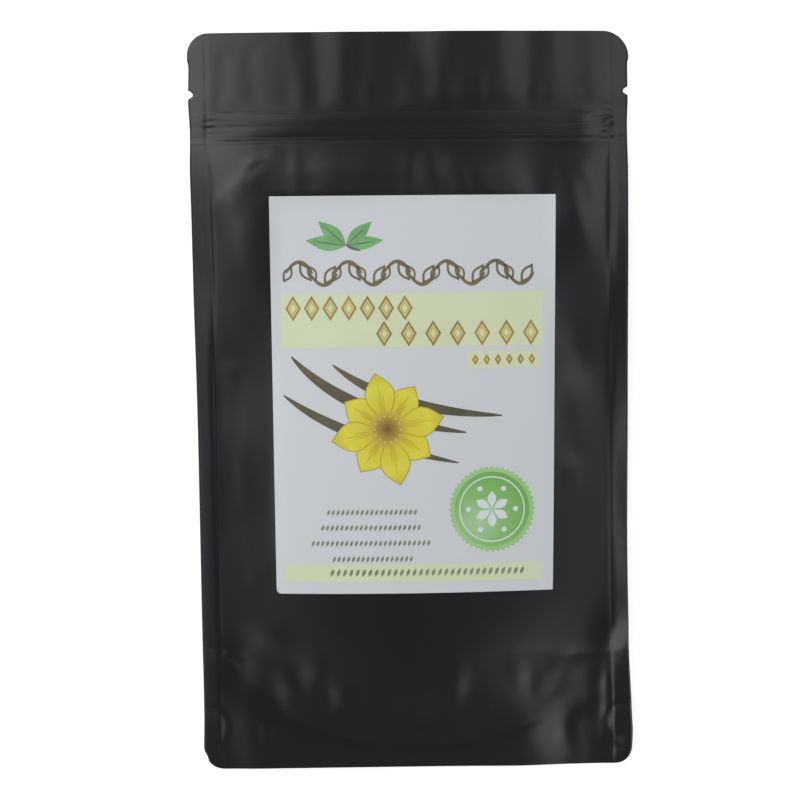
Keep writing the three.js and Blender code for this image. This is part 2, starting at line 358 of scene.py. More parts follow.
def zipRelief(x, y):
    down = halfLength - y
    whole = 1 - ramp(sealInner - zipBand["crushedEnd"], sealInner, np.abs(x))
    blend = zipBand["blend"]
    band = ramp(-blend, blend, down - zipBand["top"]) * ramp(-blend, blend, zipBand["bottom"] - down)
    ridges = kept(zipBand["endRidges"], whole) * bells(zipBand["ridges"], down)
    grooves = kept(zipBand["endGrooves"], whole) * bells(zipBand["grooves"], down)
    return band * zipBand["relief"] + ridges - grooves


# Small wrinkles at the welded ends of the zip, with shallow streaks that lead to them

zipEnd = {
    "leftHeight": 0.05,
    "rightHeight": 0.13,
    "middle": 33.5,
    "halfLength": 6.0,
    "reaches": [(1.0, 1.7, 1.0), (8.0, 7.0, 0.3)],  # in from the seal, half width, share
    "waves": [(2.7, 0.0, 1.0, 1.0), (1.6, -0.5, 0.0, 0.6)],  # per mm down and inwards, start, share
}


def zipCrimps(x, y):
    down = halfLength - y
    inside = sealInner - np.abs(x)
    height = np.where(x < 0, zipEnd["leftHeight"], zipEnd["rightHeight"])
    near = bells(zipEnd["reaches"], inside) * bell(down - zipEnd["middle"], zipEnd["halfLength"])
    wrinkles = sum(share * np.sin(down * perDown + inside * perInside + start)
                   for perDown, perInside, start, share in zipEnd["waves"])
    return height * near * wrinkles


def gussetPlies(x, y):
    fold = 1 - ramp(gusset["depth"] - gusset["blend"], gusset["depth"], y + halfLength)
    return fold * gusset["lip"] * (1 - ramp(sealInner - 2 * blank["sideSeal"], sealInner, np.abs(x)))


def halfMoons(x, y):
    toEdge = halfWidth - pullIn(y) - np.abs(x)
    away = np.hypot(toEdge, y + halfLength - gusset["moonUp"]) - gusset["moonRadius"]
    return bells([gusset["moonRim"]], away) - gusset["moonDrop"] * (1 - ramp(*gusset["moonEdge"], away))


# The line that the sealing bar leaves along each side seal's inner edge

sealLine = {
    "relief": [(0.0, 0.7, -0.1), (1.4, 0.9, 0.05)],  # out from the edge, half width, height
    "headerShare": 0.6,
    "fullFrom": (28.8, 49.6),
    "softRight": (112, 30, 0.7),  # down, half length, share that is missing on the right
    "foot": (214, 226),
    "softFoot": 0.6,
    "step": 0.05,
    "footStep": 0.26,  # more of a step at the foot, on the right
    "stepRun": (-0.3, 1.1),
}


def sealGroove(x, y):
    away = np.abs(x) - sealInner
    down = halfLength - y
    rightFoot = (x > 0) * ramp(*sealLine["foot"], down)
    missing = (x > 0) * bells([sealLine["softRight"]], down) + sealLine["softFoot"] * rightFoot
    share = kept(sealLine["headerShare"], ramp(*sealLine["fullFrom"], down)) * (1 - missing)
    step = sealLine["step"] + sealLine["footStep"] * rightFoot
    return share * bells(sealLine["relief"], away) - step * ramp(*sealLine["stepRun"], away)


def arcSeal(x, y):
    share = 1 - ramp(*gusset["arcFades"], np.abs(x - gusset["arcMiddle"]))
    above = aboveArc(x, y)
    step = gusset["arcStep"] * (ramp(*gusset["arcStepRun"], above) - 1)
    return share * (step - bells([gusset["arcGroove"]], above))


def sealMarks(x, y):
    return zipCrimps(x, y) + halfMoons(x, y) + sealGroove(x, y) + arcSeal(x, y)


def underLabel(x, y):
    ease = foldHold["labelEase"]
    inX = ramp(*ease, x - labelLow.x) * ramp(*ease, labelHigh.x - x)
    inY = ramp(*ease, y - labelLow.y) * ramp(*ease, labelHigh.y - y)
    return inX * inY


def looseFilm(x, y):
    down = halfLength - y
    belowZip = down - zipBand["bottom"]
    folds = creases(underZipFolds + cornerFolds, x, down) * ramp(*foldHold["zipEase"], belowZip)
    waves = underZip(x, down) * ramp(*foldHold["waveStarts"], belowZip)
    waves = waves * (1 - ramp(*foldHold["waveFades"], down))
    dents = creases(bodyDents, x, down) + facets(upperFacets + lowerFacets, x, down)
    held = kept(foldHold["onSeal"], 1 - ramp(*foldHold["sealEase"], np.abs(x) - sealInner))
    return (folds + waves + dents) * held * (1 - underLabel(x, y))


def frontHeight(x, y):
    down = halfLength - y
    film = blank["sealHalf"] + gussetPlies(x, y) + zipRelief(x, y)
    form = seamHeight(x, y) + film + fill["frontBulge"] * fullness(x, y) + slackBelowZip(x, down)
    pressed = creases(gussetDents, x, down) + facets(sealFacets, x, down)
    return form + looseFilm(x, y) + pressed + sealMarks(x, y)


def middleHeight(x, y):
    # the line on which the films lie together: it sinks where the front film is pressed in
    lying = frontHeight(x, y) - blank["sealHalf"] - gussetPlies(x, y)
    return np.minimum(seamHeight(x, y), lying)


def backHeight(x, y):
    plies = blank["sealHalf"] + gussetPlies(x, y)
    form = seamHeight(x, y) - plies - zipRelief(x, y) - fill["backBulge"] * fullness(x, y)
    return np.maximum(np.minimum(form - sealMarks(x, y), middleHeight(x, y) - plies), 0)


# Film sheets are grids whose lines lie close together where the film is worked

sheetLines = {
    "across": [(60, 44), (72.4, 17), (74.2, 6), (80, 7)],  # up to this x, in this many steps
    "down": [(28, 24), (40.6, 38), (70, 28), (205, 84)],
    "gusset": 54,
    "corner": 12,
    "backShare": 0.7,  # the plain back needs fewer steps
}


def evenStops(start, stretches):
    places = [start]
    for end, steps in stretches:
        begin = places[-1]
        places += [begin + (end - begin) * (i + 1) / steps for i in range(steps)]
    return places


def sheetStops(share):
    across = evenStops(0, [(end, max(2, round(steps * share))) for end, steps in sheetLines["across"]])
    across = [-x for x in reversed(across[1:])] + across
    radius, count = max(blank["corners"].values()), sheetLines["corner"]
    corner = [radius * (1 - math.cos(math.pi / 2 * i / count)) for i in range(count + 1)]
    length = 2 * halfLength
    stretches = sheetLines["down"] + [(length - radius, sheetLines["gusset"])]
    middle = evenStops(radius, [(end, max(2, round(steps * share))) for end, steps in stretches])
    down = corner[:-1] + middle + [length - d for d in reversed(corner[:-1])]
    return np.array(across), np.array([halfLength - d for d in reversed(down)])


def edgeAt(y, side):
    corners = blank["corners"]
    top = np.where(side < 0, corners["topLeft"], corners["topRight"])
    bottom = np.where(side < 0, corners["bottomLeft"], corners["bottomRight"])
    radius = np.where(y > 0, top, bottom)
    toEnd = np.maximum(radius - (halfLength - np.abs(y)), 0)
    corner = radius - np.sqrt(np.maximum(radius**2 - toEnd**2, 0))
    down = halfLength - y
    fromNotch = np.abs(down - blank["notchDown"]) / (blank["notchHeight"] / 2)
    notch = blank["notchDepth"] * np.sqrt(np.maximum(1 - fromNotch**2, 0)) ** blank["notchPoint"]
    step = ramp(*blank["stepStarts"], down) * (1 - ramp(*blank["stepFades"], down))
    nickDown, nickWidth, nickDepth = blank["bottomNick"]
    nick = np.where(side < 0, nickDepth * bell(down - nickDown, nickWidth), 0)
    drift = np.where(side < 0, bells(edgeDrift["left"], down), bells(edgeDrift["right"], down))
    return halfWidth - corner - notch - blank["stepDepth"] * step - nick + drift


def moveTo(bm, x, y, z):
    for vert, place in zip(bm.verts, np.column_stack([x, y, z]) * mm):
        vert.co = place


def sheetMesh(name, height, share, faceUp):
    across, along = sheetStops(share)
    bm = bmesh.new()
    bmesh.ops.create_grid(bm, x_segments=len(across) - 1, y_segments=len(along) - 1, size=0.5)
    column = np.array([round((v.co.x + 0.5) * (len(across) - 1)) for v in bm.verts])
    row = np.array([round((v.co.y + 0.5) * (len(along) - 1)) for v in bm.verts])
    x, y = across[column], along[row]
    inner = halfWidth - blank["cornerZone"]
    squeeze = (edgeAt(y, x) - inner) / blank["cornerZone"]
    shown = np.where(np.abs(x) > inner, np.sign(x) * (inner + (np.abs(x) - inner) * squeeze), x)
    z = height(shown, y)
    shown = shown * narrowing(y)
    y = y - blank["topSkew"] * shown / halfWidth * ramp(blank["skewReach"], 0, halfLength - y)
    moveTo(bm, shown, y, z)
    if not faceUp:
        bmesh.ops.reverse_faces(bm, faces=bm.faces)
    return meshObject(name, bm)


def meshObject(name, bm):
    mesh = bpy.data.meshes.new(name)
    bm.to_mesh(mesh)
    bm.free()
    mesh.shade_smooth()
    piece = bpy.data.objects.new(name, mesh)
    bpy.context.scene.collection.objects.link(piece)
    return piece


def thicken(piece, thickness):
    wall = piece.modifiers.new("wall", "SOLIDIFY")
    wall.thickness = thickness * mm
    wall.offset = -1


gussetSheet = {
    "across": 60,  # steps across, along each ply and round the fold
    "ply": 24,
    "fold": 6,
    "offSeal": 11.0,
    "aboveHem": 0.25,
    "belowFold": 1.5,
    "opens": 0.6,  # share of the room between the films, less the slack
    "slack": 0.05,
    "least": 0.03,
}


def gussetFilm():
    # one sheet that runs up from the front hem, folds over and comes down again to the back hem
    ply, fold = gussetSheet["ply"], gussetSheet["fold"]
    rows = 2 * ply + fold
    bm = bmesh.new()
    bmesh.ops.create_grid(bm, x_segments=gussetSheet["across"], y_segments=rows, size=0.5)
    places = np.array([v.co[:] for v in bm.verts])
    x = places[:, 0] * 2 * (sealInner - gussetSheet["offSeal"])
    step = np.round((places[:, 1] + 0.5) * rows)
    side = np.where(step <= rows / 2, 1, -1)
    fromHem = np.minimum(step, rows - step)
    bottom = -halfLength + gussetSheet["aboveHem"]
    foldY = -halfLength + gusset["depth"] - gussetSheet["belowFold"]
    y = bottom + (foldY - bottom) * np.minimum(fromHem / ply, 1)
    spread = gussetSheet["opens"] * gussetPlies(x, y) - gussetSheet["slack"]
    spread = np.maximum(spread, gussetSheet["least"])
    turn = np.maximum(fromHem - ply, 0) / (fold / 2) * math.pi / 2
    z = middleHeight(x, y) + side * spread * np.cos(turn)
    moveTo(bm, x * narrowing(y), y + spread * np.sin(turn), z)
    return meshObject("gusset_film", bm)


# Label: paper laid on the front film

paper = {
    "gap": 0.06,
    "thickness": 0.1,
    "step": 1.6,
    "roundCorner": 1.8,
    "plainCorner": 0.3,
    "sharpFrom": 40,  # degrees between faces
    "left": (-50.9, -50.6),  # x of the left edge at the top and at the bottom
    "right": (52.8, 50.2),
    "top": (76.2, 75.6),  # y of the top edge at the left and at the right
    "bottom": (-68.4, -68.2),
}


def labelTop(x, y):
    return frontHeight(x, y) + paper["gap"] + paper["thickness"]


def laid(bm, lift):
    places = np.array([v.co[:] for v in bm.verts])
    x, y = places[:, 0], places[:, 1]
    moveTo(bm, x, y, labelTop(x / narrowing(y), y) + places[:, 2] + lift)


def laidSheet(name, bm, thickness, lift):
    # gives flat shapes their thickness downwards, then lays them on the label's form
    bmesh.ops.recalc_face_normals(bm, faces=bm.faces)
    for face in bm.faces:
        if face.normal.z < 0:
            face.normal_flip()
    bmesh.ops.solidify(bm, geom=bm.faces[:], thickness=thickness)
    laid(bm, lift)
    piece = meshObject(name, bm)
    piece.data.set_sharp_from_angle(angle=math.radians(paper["sharpFrom"]))
    return piece


def cutAcross(bm, step):
    xs = [v.co.x for v in bm.verts]
    ys = [v.co.y for v in bm.verts]
    for axis, low, high in ((0, min(xs), max(xs)), (1, min(ys), max(ys))):
        for i in range(math.ceil(low / step), math.floor(high / step) + 1):
            at, normal = Vector((0, 0, 0)), Vector((0, 0, 0))
            at[axis], normal[axis] = i * step, 1
            geometry = bm.verts[:] + bm.edges[:] + bm.faces[:]
            bmesh.ops.bisect_plane(bm, geom=geometry, dist=1e-5, plane_co=at, plane_no=normal)


def paperLabel():
    bm = bmesh.new()
    bmesh.ops.create_grid(bm, x_segments=1, y_segments=1, size=0.5)
    for vert in bm.verts:
        side = paper["left"] if vert.co.x < 0 else paper["right"]
        end = paper["top"] if vert.co.y > 0 else paper["bottom"]
        vert.co = Vector((side[0 if vert.co.y > 0 else 1], end[0 if vert.co.x < 0 else 1], 0))
    for vert in list(bm.verts):
        lowerLeft = vert.co.x < 0 and vert.co.y < 0
        radius = paper["roundCorner"] if lowerLeft else paper["plainCorner"]
        bmesh.ops.bevel(bm, geom=[vert], offset=radius, affect="VERTICES", segments=6,
                        profile=0.5, material=-1)
    cutAcross(bm, paper["step"])
    return laidSheet("paper_label", bm, paper["thickness"], 0)


# Print: flat shapes laid on the paper, measured right and down from its top left corner

printing = {"ink": 0.015, "layer": 0.02, "cut": 2.4}
drawing = {
    "leafSides": 22,
    "leafTip": 1.15,  # the higher, the longer its drawn-out ends
    "tipZone": 0.001,
    "strokeSteps": 26,
    "strokeEnd": 0.12,  # share of the width that is left at both ends
}


def spot(right, down):
    share = down / (paper["top"][0] - paper["bottom"][0])
    left = paper["left"][0] + (paper["left"][1] - paper["left"][0]) * share
    tilt = (paper["top"][1] - paper["top"][0]) * (1 - share) / (paper["right"][0] - paper["left"][0])
    return Vector((left + right, paper["top"][0] - down + tilt * right, 0))


def placed(bm, verts, centre, turn=0):
    rotation = Matrix.Rotation(math.radians(turn), 3, "Z")
    bmesh.ops.rotate(bm, verts=verts, cent=(0, 0, 0), matrix=rotation)
    bmesh.ops.translate(bm, verts=verts, vec=spot(*centre))


def outFrom(centre, reach, turn):
    turn = math.radians(turn)
    return centre[0] + reach * math.cos(turn), centre[1] - reach * math.sin(turn)


def field(bm, left, top, right, bottom):
    made = bmesh.ops.create_grid(bm, x_segments=1, y_segments=1, size=0.5)["verts"]
    bmesh.ops.scale(bm, verts=made, vec=(right - left, bottom - top, 1))
    placed(bm, made, ((left + right) / 2, (top + bottom) / 2))


def disc(bm, centre, radius, segments, stretch=1):
    made = bmesh.ops.create_circle(bm, cap_ends=True, segments=segments, radius=radius)["verts"]
    bmesh.ops.scale(bm, verts=made, vec=(stretch, 1, 1))
    placed(bm, made, centre)
    return made


def hollow(bm, verts, band):
    # keeps only a band of the given width along the outline of the newest shape
    face = [f for f in verts[0].link_faces if len(f.verts) == len(verts)][0]
    bmesh.ops.inset_individual(bm, faces=[face], thickness=band, use_even_offset=True)
    bmesh.ops.delete(bm, geom=[face], context="FACES_ONLY")


def leaf(bm, base, length, width, turn, full=0.5, band=0):
    made = bmesh.ops.create_circle(bm, cap_ends=True, segments=drawing["leafSides"], radius=1)["verts"]
    for vert in made:
        along = (1 - vert.co.x) / 2
        swell = math.sin(math.pi * along ** (math.log(0.5) / math.log(full))) ** drawing["leafTip"]
        side = 1 if vert.co.y > 0 else -1
        if not drawing["tipZone"] < along < 1 - drawing["tipZone"]:
            side = 0
        vert.co = Vector((along * length, side * width / 2 * swell, 0))
    placed(bm, made, base, turn)
    if band:
        hollow(bm, made, band)


def stroke(bm, points, width, taper=0.8):
    # a tapering curved stroke through a start, a pull point and an end
    made = bmesh.ops.create_grid(bm, x_segments=drawing["strokeSteps"], y_segments=1, size=0.5)["verts"]
    start, pull, end = (spot(*point) for point in points)
    for vert in made:
        part = vert.co.x + 0.5
        place = start * (1 - part) ** 2 + pull * 2 * part * (1 - part) + end * part**2
        way = (pull - start) * (1 - part) + (end - pull) * part
        across = Vector((-way.y, way.x, 0)).normalized()
        half = width / 2 * kept(drawing["strokeEnd"], math.sin(math.pi * part) ** taper)
        vert.co = place + across * half * (1 if vert.co.y > 0 else -1)


def printPiece(name, bm, layer, material):
    cutAcross(bm, printing["cut"])
    piece = laidSheet(name, bm, printing["ink"], printing["layer"] * layer)
    piece.data.materials.append(material)
    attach(piece, "root")


paleFields = [  # left, top, right, bottom
    (3.6, 35.3, 98.4, 54.7),
    (70.6, 56.5, 96.9, 62.7),
    (3.2, 133.8, 96.8, 140.1),
]
lozenges = {
    "rows": [  # left, middle, count, pitch, height, share of the line's width
        (4.6, 40.6, 7, 6.75, 9.2, 1),
        (36.4, 49.9, 7, 8.85, 9.4, 1),
        (71.6, 59.6, 6, 4.1, 4.0, 0.8),
    ],
    "outline": (1.0, 0.75),  # share of the height, line
    "heart": (0.6, 0.6),
    "narrow": 0.62,
}
garland = {
    "left": 6.0,
    "right": 95.0,
    "middle": 28.0,
    "rise": 4.2,
    "waves": 5,
    "overlap": 0.5,
    "line": 1.3,
    "taper": 0.4,
    "leaves": [  # share along the wave, in from its crest, length, width, turned by, line
        (0.5, 0.0, 8.4, 4.2, 58, 0.85),
        (0.2, 1.4, 6.72, 3.6, 118, 0.75),
    ],
}
sprig = {
    "base": (27.5, 18.0),
    # length, width, turned by
    "leaves": [(15, 5.6, 172), (13.5, 5.6, 138), (13.0, 5.0, 42), (14.0, 4.8, 8)],
    "full": 0.45,
    "ribReach": 0.8,
    "rib": 0.45,
    "stem": [(0, -0.5), (1.5, 1.0), (5.5, 1.8)],  # right and down from the base
    "stemWidth": 1.1,
}
blossom = {
    "centre": (41.5, 84.5),
    "petals": 8,
    "turned": 12,
    "long": 21.0,
    "short": 18.6,
    "wide": 11.2,
    "full": 0.6,
    "edge": 0.32,
    "veins": [(-5, 0.62), (0, 0.8), (5, 0.62)],  # degrees off the petal's middle, reach
    "veinStart": 4.0,
    "vein": 0.28,
    "cup": 6.6,
    "dots": 14,
    "dotRing": 4.752,
    "dot": 0.42,
}
podStrokes = [  # start, pull point, end, width
    ((7, 58), (26, 80), (70, 86), 4.4),
    ((4, 72), (24, 88), (67, 97), 3.8),
    ((22, 61), (42, 78), (83, 80), 4.0),
]
seeds = {
    "rows": [(115.9, 34.6, 16.4), (121.5, 34.6, 18.6), (127.2, 34.6, 22.2), (133.0, 34.6, 14.6)],
    "footRow": (138.3, 54.0, 35.2),  # down, middle, half length
    "pitch": 1.75,
    "size": (2.5, 1.0),
    "footPitch": 2.3,
    "footSize": (3.2, 1.2),
    "lean": 68,
}
greenSeal = {
    "centre": (78.9, 114.1),
    "radius": 15.8,
    "inner": 13.6,
    "teeth": 48,
    "tooth": 1.0,
    "ring": (12.0, 0.5),  # radius, line
    "petals": 6,
    "petal": (6.6, 3.2),  # length, width
    "full": 0.6,
    "dotRing": 8.6,
    "dot": 0.95,
    "bright": (74.0, 119.0),  # where its green is palest
}


def printFields():
    bm = bmesh.new()
    for edges in paleFields:
        field(bm, *edges)
    return bm


def printLozenges(scale, line):
    bm = bmesh.new()
    for left, middle, count, pitch, height, share in lozenges["rows"]:
        for i in range(count):
            centre = (left + pitch * (i + 0.5), middle)
            made = disc(bm, centre, height * scale / 2, segments=4, stretch=lozenges["narrow"])
            hollow(bm, made, line * share)
    return bm


def printGarland():
    bm = bmesh.new()
    span = (garland["right"] - garland["left"]) / garland["waves"] / 2
    middle, lap = garland["middle"], garland["overlap"]
    for i in range(garland["waves"] * 2):
        left = garland["left"] + span * i
        side = 1 if i % 2 else -1
        crest = middle + side * garland["rise"]
        pull = (left + span / 2, middle + side * garland["rise"] * 2)
        points = [(left - lap, middle), pull, (left + span + lap, middle)]
        stroke(bm, points, garland["line"], garland["taper"])
        for along, inwards, length, width, turn, line in garland["leaves"]:
            base = (left + span * along, crest - side * inwards)
            leaf(bm, base, length, width, side * turn, band=line)
    return bm


def printSprig():
    bm = bmesh.new()
    for length, width, turn in sprig["leaves"]:
        leaf(bm, sprig["base"], length, width, turn, sprig["full"])
    return bm


def sprigRibs():
    bm = bmesh.new()
    base = sprig["base"]
    for length, _, turn in sprig["leaves"]:
        reach = length * sprig["ribReach"]
        stroke(bm, [base, outFrom(base, reach / 2, turn), outFrom(base, reach, turn)], sprig["rib"])
    stem = [(base[0] + right, base[1] + down) for right, down in sprig["stem"]]
    stroke(bm, stem, sprig["stemWidth"])
    return bm


def printPetals(first, length, band=0):
    bm = bmesh.new()
    step = 360 / blossom["petals"]
    for i in range(first, blossom["petals"], 2):
        turn = blossom["turned"] + step * i
        leaf(bm, blossom["centre"], length, blossom["wide"], turn, blossom["full"], band)
    return bm


def petalVeins():
    bm = bmesh.new()
    step = 360 / blossom["petals"]
    start = blossom["veinStart"]
    for i in range(blossom["petals"]):
        for offset, reach in blossom["veins"]:
            turn = blossom["turned"] + step * i + offset
            length = reach * (blossom["short"] if i % 2 else blossom["long"])
            reaches = (start, (start + length) / 2, length)
            stroke(bm, [outFrom(blossom["centre"], away, turn) for away in reaches], blossom["vein"])
    return bm


def printCup():
    bm = bmesh.new()
    disc(bm, blossom["centre"], blossom["cup"], segments=28)
    return bm


def cupDots():
    bm = bmesh.new()
    for i in range(blossom["dots"]):
        centre = outFrom(blossom["centre"], blossom["dotRing"], 360 * i / blossom["dots"])
        disc(bm, centre, blossom["dot"], segments=10)
    return bm


def printPods():
    bm = bmesh.new()
    for *points, width in podStrokes:
        stroke(bm, points, width)
    return bm


def seedRow(bm, down, middle, half, pitch, size):
    for i in range(round(2 * half / pitch)):
        leaf(bm, (middle - half + pitch * (i + 0.5), down), *size, seeds["lean"])


def printSeeds():
    bm = bmesh.new()
    for row in seeds["rows"]:
        seedRow(bm, *row, seeds["pitch"], seeds["size"])
    seedRow(bm, *seeds["footRow"], seeds["footPitch"], seeds["footSize"])
    return bm


def printSealRim():
    bm = bmesh.new()
    made = disc(bm, greenSeal["centre"], greenSeal["radius"], segments=greenSeal["teeth"] * 2)
    centre = spot(*greenSeal["centre"])
    for vert in made[1::2]:
        vert.co = centre + (vert.co - centre) * (1 - greenSeal["tooth"] / greenSeal["radius"])
    return bm


def printSealDisc():
    bm = bmesh.new()
    disc(bm, greenSeal["centre"], greenSeal["inner"], segments=64)
    return bm


def printSealMark():
    bm = bmesh.new()
    centre = greenSeal["centre"]
    radius, line = greenSeal["ring"]
    hollow(bm, disc(bm, centre, radius, segments=48), line)
    step = 360 / greenSeal["petals"]
    for i in range(greenSeal["petals"]):
        leaf(bm, centre, *greenSeal["petal"], step * (i + 0.5), greenSeal["full"])
        disc(bm, outFrom(centre, greenSeal["dotRing"], step * i), greenSeal["dot"], segments=16)
    return bm


# Materials


def newMaterial(name, settings):
    material = bpy.data.materials.new(name)
    material.use_nodes = True
    shader = material.node_tree.nodes["Principled BSDF"]
    for socket, value in settings.items():
        shader.inputs[socket].default_value = value
    return material, material.node_tree, shader


def addNode(tree, kind, settings, **links):
    node = tree.nodes.new(kind)
    for key, value in settings.items():
        if key in node.inputs:
            node.inputs[key].default_value = value
        else:
            setattr(node, key, value)
    for key, source in links.items():
        tree.links.new(source, node.inputs[key])
    return node


def addNoise(tree, place, scale, detail):
    settings = {"Scale": scale, "Detail": detail}
    return addNode(tree, "ShaderNodeTexNoise", settings, Vector=place.outputs["Object"]).outputs["Fac"]


def addBumps(tree, shader, layers):
    place = tree.nodes.new("ShaderNodeTexCoord")
    normal = None
    for scale, detail, strength, distance in layers:
        grain = addNoise(tree, place, scale, detail)
        bump = addNode(tree, "ShaderNodeBump", {"Strength": strength, "Distance": distance}, Height=grain)
        if normal:
            tree.links.new(normal, bump.inputs["Normal"])
        normal = bump.outputs["Normal"]
    tree.links.new(normal, shader.inputs["Normal"])
    return place


def addTones(tree, shader, level, first, second):
    tint = addNode(tree, "ShaderNodeMix", {"data_type": "RGBA"})
    tint.inputs[6].default_value = (*first, 1)
    tint.inputs[7].default_value = (*second, 1)
    tree.links.new(level, tint.inputs[0])
    tree.links.new(tint.outputs[2], shader.inputs["Base Color"])


# Bumps are scale, detail, strength and depth in metres, clouds and grain are scale and detail

filmLook = {
    "base": (0.0072, 0.0075, 0.0086, 1),
    "ior": 1.5,
    "bumps": [(70, 2, 0.18, 0.0006), (900, 3, 0.12, 0.00003)],
    "cloud": (22, 4),
    "roughLow": 0.26,
    "roughHigh": 0.34,
}


def filmMaterial():
    settings = {"Base Color": filmLook["base"], "IOR": filmLook["ior"]}
    material, tree, shader = newMaterial("matte_black_film", settings)
    place = addBumps(tree, shader, filmLook["bumps"])
    span = {"To Min": filmLook["roughLow"], "To Max": filmLook["roughHigh"]}
    rough = addNode(tree, "ShaderNodeMapRange", span, Value=addNoise(tree, place, *filmLook["cloud"]))
    tree.links.new(rough.outputs["Result"], shader.inputs["Roughness"])
    return material


paperLook = {
    "base": (0.635, 0.65, 0.657),
    "shade": (0.615, 0.63, 0.637),
    "roughness": 0.55,
    "bumps": [(1400, 3, 0.15, 0.00002)],
    "cloud": (30, 3),
}


def paperMaterial():
    material, tree, shader = newMaterial("label_paper", {"Roughness": paperLook["roughness"]})
    place = addBumps(tree, shader, paperLook["bumps"])
    cloud = addNoise(tree, place, *paperLook["cloud"])
    addTones(tree, shader, cloud, paperLook["base"], paperLook["shade"])
    return material


inkLook = {
    "roughness": 0.5,
    "bumps": [(1400, 3, 0.12, 0.00002)],
    "grainDetail": 6,
    "grainSpan": {"From Min": 0.35, "From Max": 0.65},
    "streaks": (260, 4),
    "streakShare": 0.22,
}


def inkMaterial(name, colour, other, scale=60):
    # print ink: two close tones in a fine grain, so no field is one flat colour
    material, tree, shader = newMaterial(name, {"Roughness": inkLook["roughness"]})
    place = addBumps(tree, shader, inkLook["bumps"])
    grain = addNoise(tree, place, scale, inkLook["grainDetail"])
    level = addNode(tree, "ShaderNodeMapRange", inkLook["grainSpan"], Value=grain)
    addTones(tree, shader, level.outputs["Result"], colour, other)
    return material


def radialMaterial(name, centre, radius, stops):
    # tones that follow the distance from a centre on the label
    material, tree, shader = newMaterial(name, {"Roughness": inkLook["roughness"]})
    place = addBumps(tree, shader, inkLook["bumps"])
    middle = spot(*centre) / radius
    scale = 1 / (radius * mm)
    settings = {"Scale": (scale, scale, 0), "Location": (-middle.x, -middle.y, 0)}
    move = addNode(tree, "ShaderNodeMapping", settings, Vector=place.outputs["Object"])
    away = addNode(tree, "ShaderNodeVectorMath", {"operation": "LENGTH"})
    tree.links.new(move.outputs["Vector"], away.inputs[0])
    blend = addNode(tree, "ShaderNodeMath", {"operation": "MULTIPLY_ADD"})
    tree.links.new(addNoise(tree, place, *inkLook["streaks"]), blend.inputs[0])
    blend.inputs[1].default_value = inkLook["streakShare"]
    tree.links.new(away.outputs["Value"], blend.inputs[2])
    tones = addNode(tree, "ShaderNodeValToRGB", {}, Fac=blend.outputs["Value"])
    for _ in stops[2:]:
        tones.color_ramp.elements.new(0.5)
    for element, (position, colour) in zip(tones.color_ramp.elements, stops):
        element.position = position
        element.color = (*colour, 1)
    tree.links.new(tones.outputs["Color"], shader.inputs["Base Color"])
    return material


film = filmMaterial()
frontFilm = sheetMesh("front_film", frontHeight, 1.0, True)
backFilm = sheetMesh("back_film", backHeight, sheetLines["backShare"], False)
foldedGusset = gussetFilm()
for sheet in (frontFilm, backFilm, foldedGusset):
    sheet.data.materials.append(film)
    thicken(sheet, blank["film"])
    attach(sheet, "root")
    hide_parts("pouch")
print("stage: films made")

label = paperLabel()
label.data.materials.append(paperMaterial())
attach(label, "root")
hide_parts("label")
print("stage: label made")

paleInk = inkMaterial("pale_ink", (0.655, 0.715, 0.47), (0.635, 0.69, 0.44))
goldInk = inkMaterial("gold_ink", (0.40, 0.27, 0.055), (0.30, 0.19, 0.04))
warmInk = inkMaterial("warm_ink", (0.62, 0.50, 0.13), (0.55, 0.43, 0.10))
brownInk = inkMaterial("brown_ink", (0.15, 0.115, 0.07), (0.19, 0.16, 0.085), 25)
oliveInk = inkMaterial("olive_ink", (0.20, 0.215, 0.14), (0.26, 0.27, 0.19))
podInk = inkMaterial("pod_ink", (0.075, 0.08, 0.045), (0.15, 0.11, 0.06), 90)
leafInk = inkMaterial("leaf_ink", (0.20, 0.45, 0.18), (0.14, 0.36, 0.13), 120)
darkInk = inkMaterial("dark_ink", (0.10, 0.12, 0.09), (0.14, 0.16, 0.11))
whiteInk = inkMaterial("white_ink", (0.70, 0.75, 0.73), (0.66, 0.72, 0.69))
rimInk = inkMaterial("rim_ink", (0.27, 0.55, 0.17), (0.36, 0.60, 0.27), 45)
veinInk = inkMaterial("vein_ink", (0.50, 0.38, 0.03), (0.42, 0.30, 0.03))
petalInk = radialMaterial("petal_ink", blossom["centre"], 22.0, [
    (0.15, (0.42, 0.27, 0.02)),
    (0.45, (0.66, 0.55, 0.035)),
    (0.8, (0.72, 0.66, 0.055)),
    (1.0, (0.62, 0.53, 0.04)),
])
cupInk = radialMaterial("cup_ink", blossom["centre"], 7.4, [
    (0.1, (0.16, 0.085, 0.015)),
    (0.6, (0.40, 0.26, 0.03)),
    (1.0, (0.60, 0.47, 0.06)),
])
discInk = radialMaterial("disc_ink", greenSeal["bright"], 22.0, [
    (0.1, (0.42, 0.62, 0.38)),
    (0.55, (0.24, 0.50, 0.15)),
    (1.0, (0.16, 0.42, 0.085)),
])

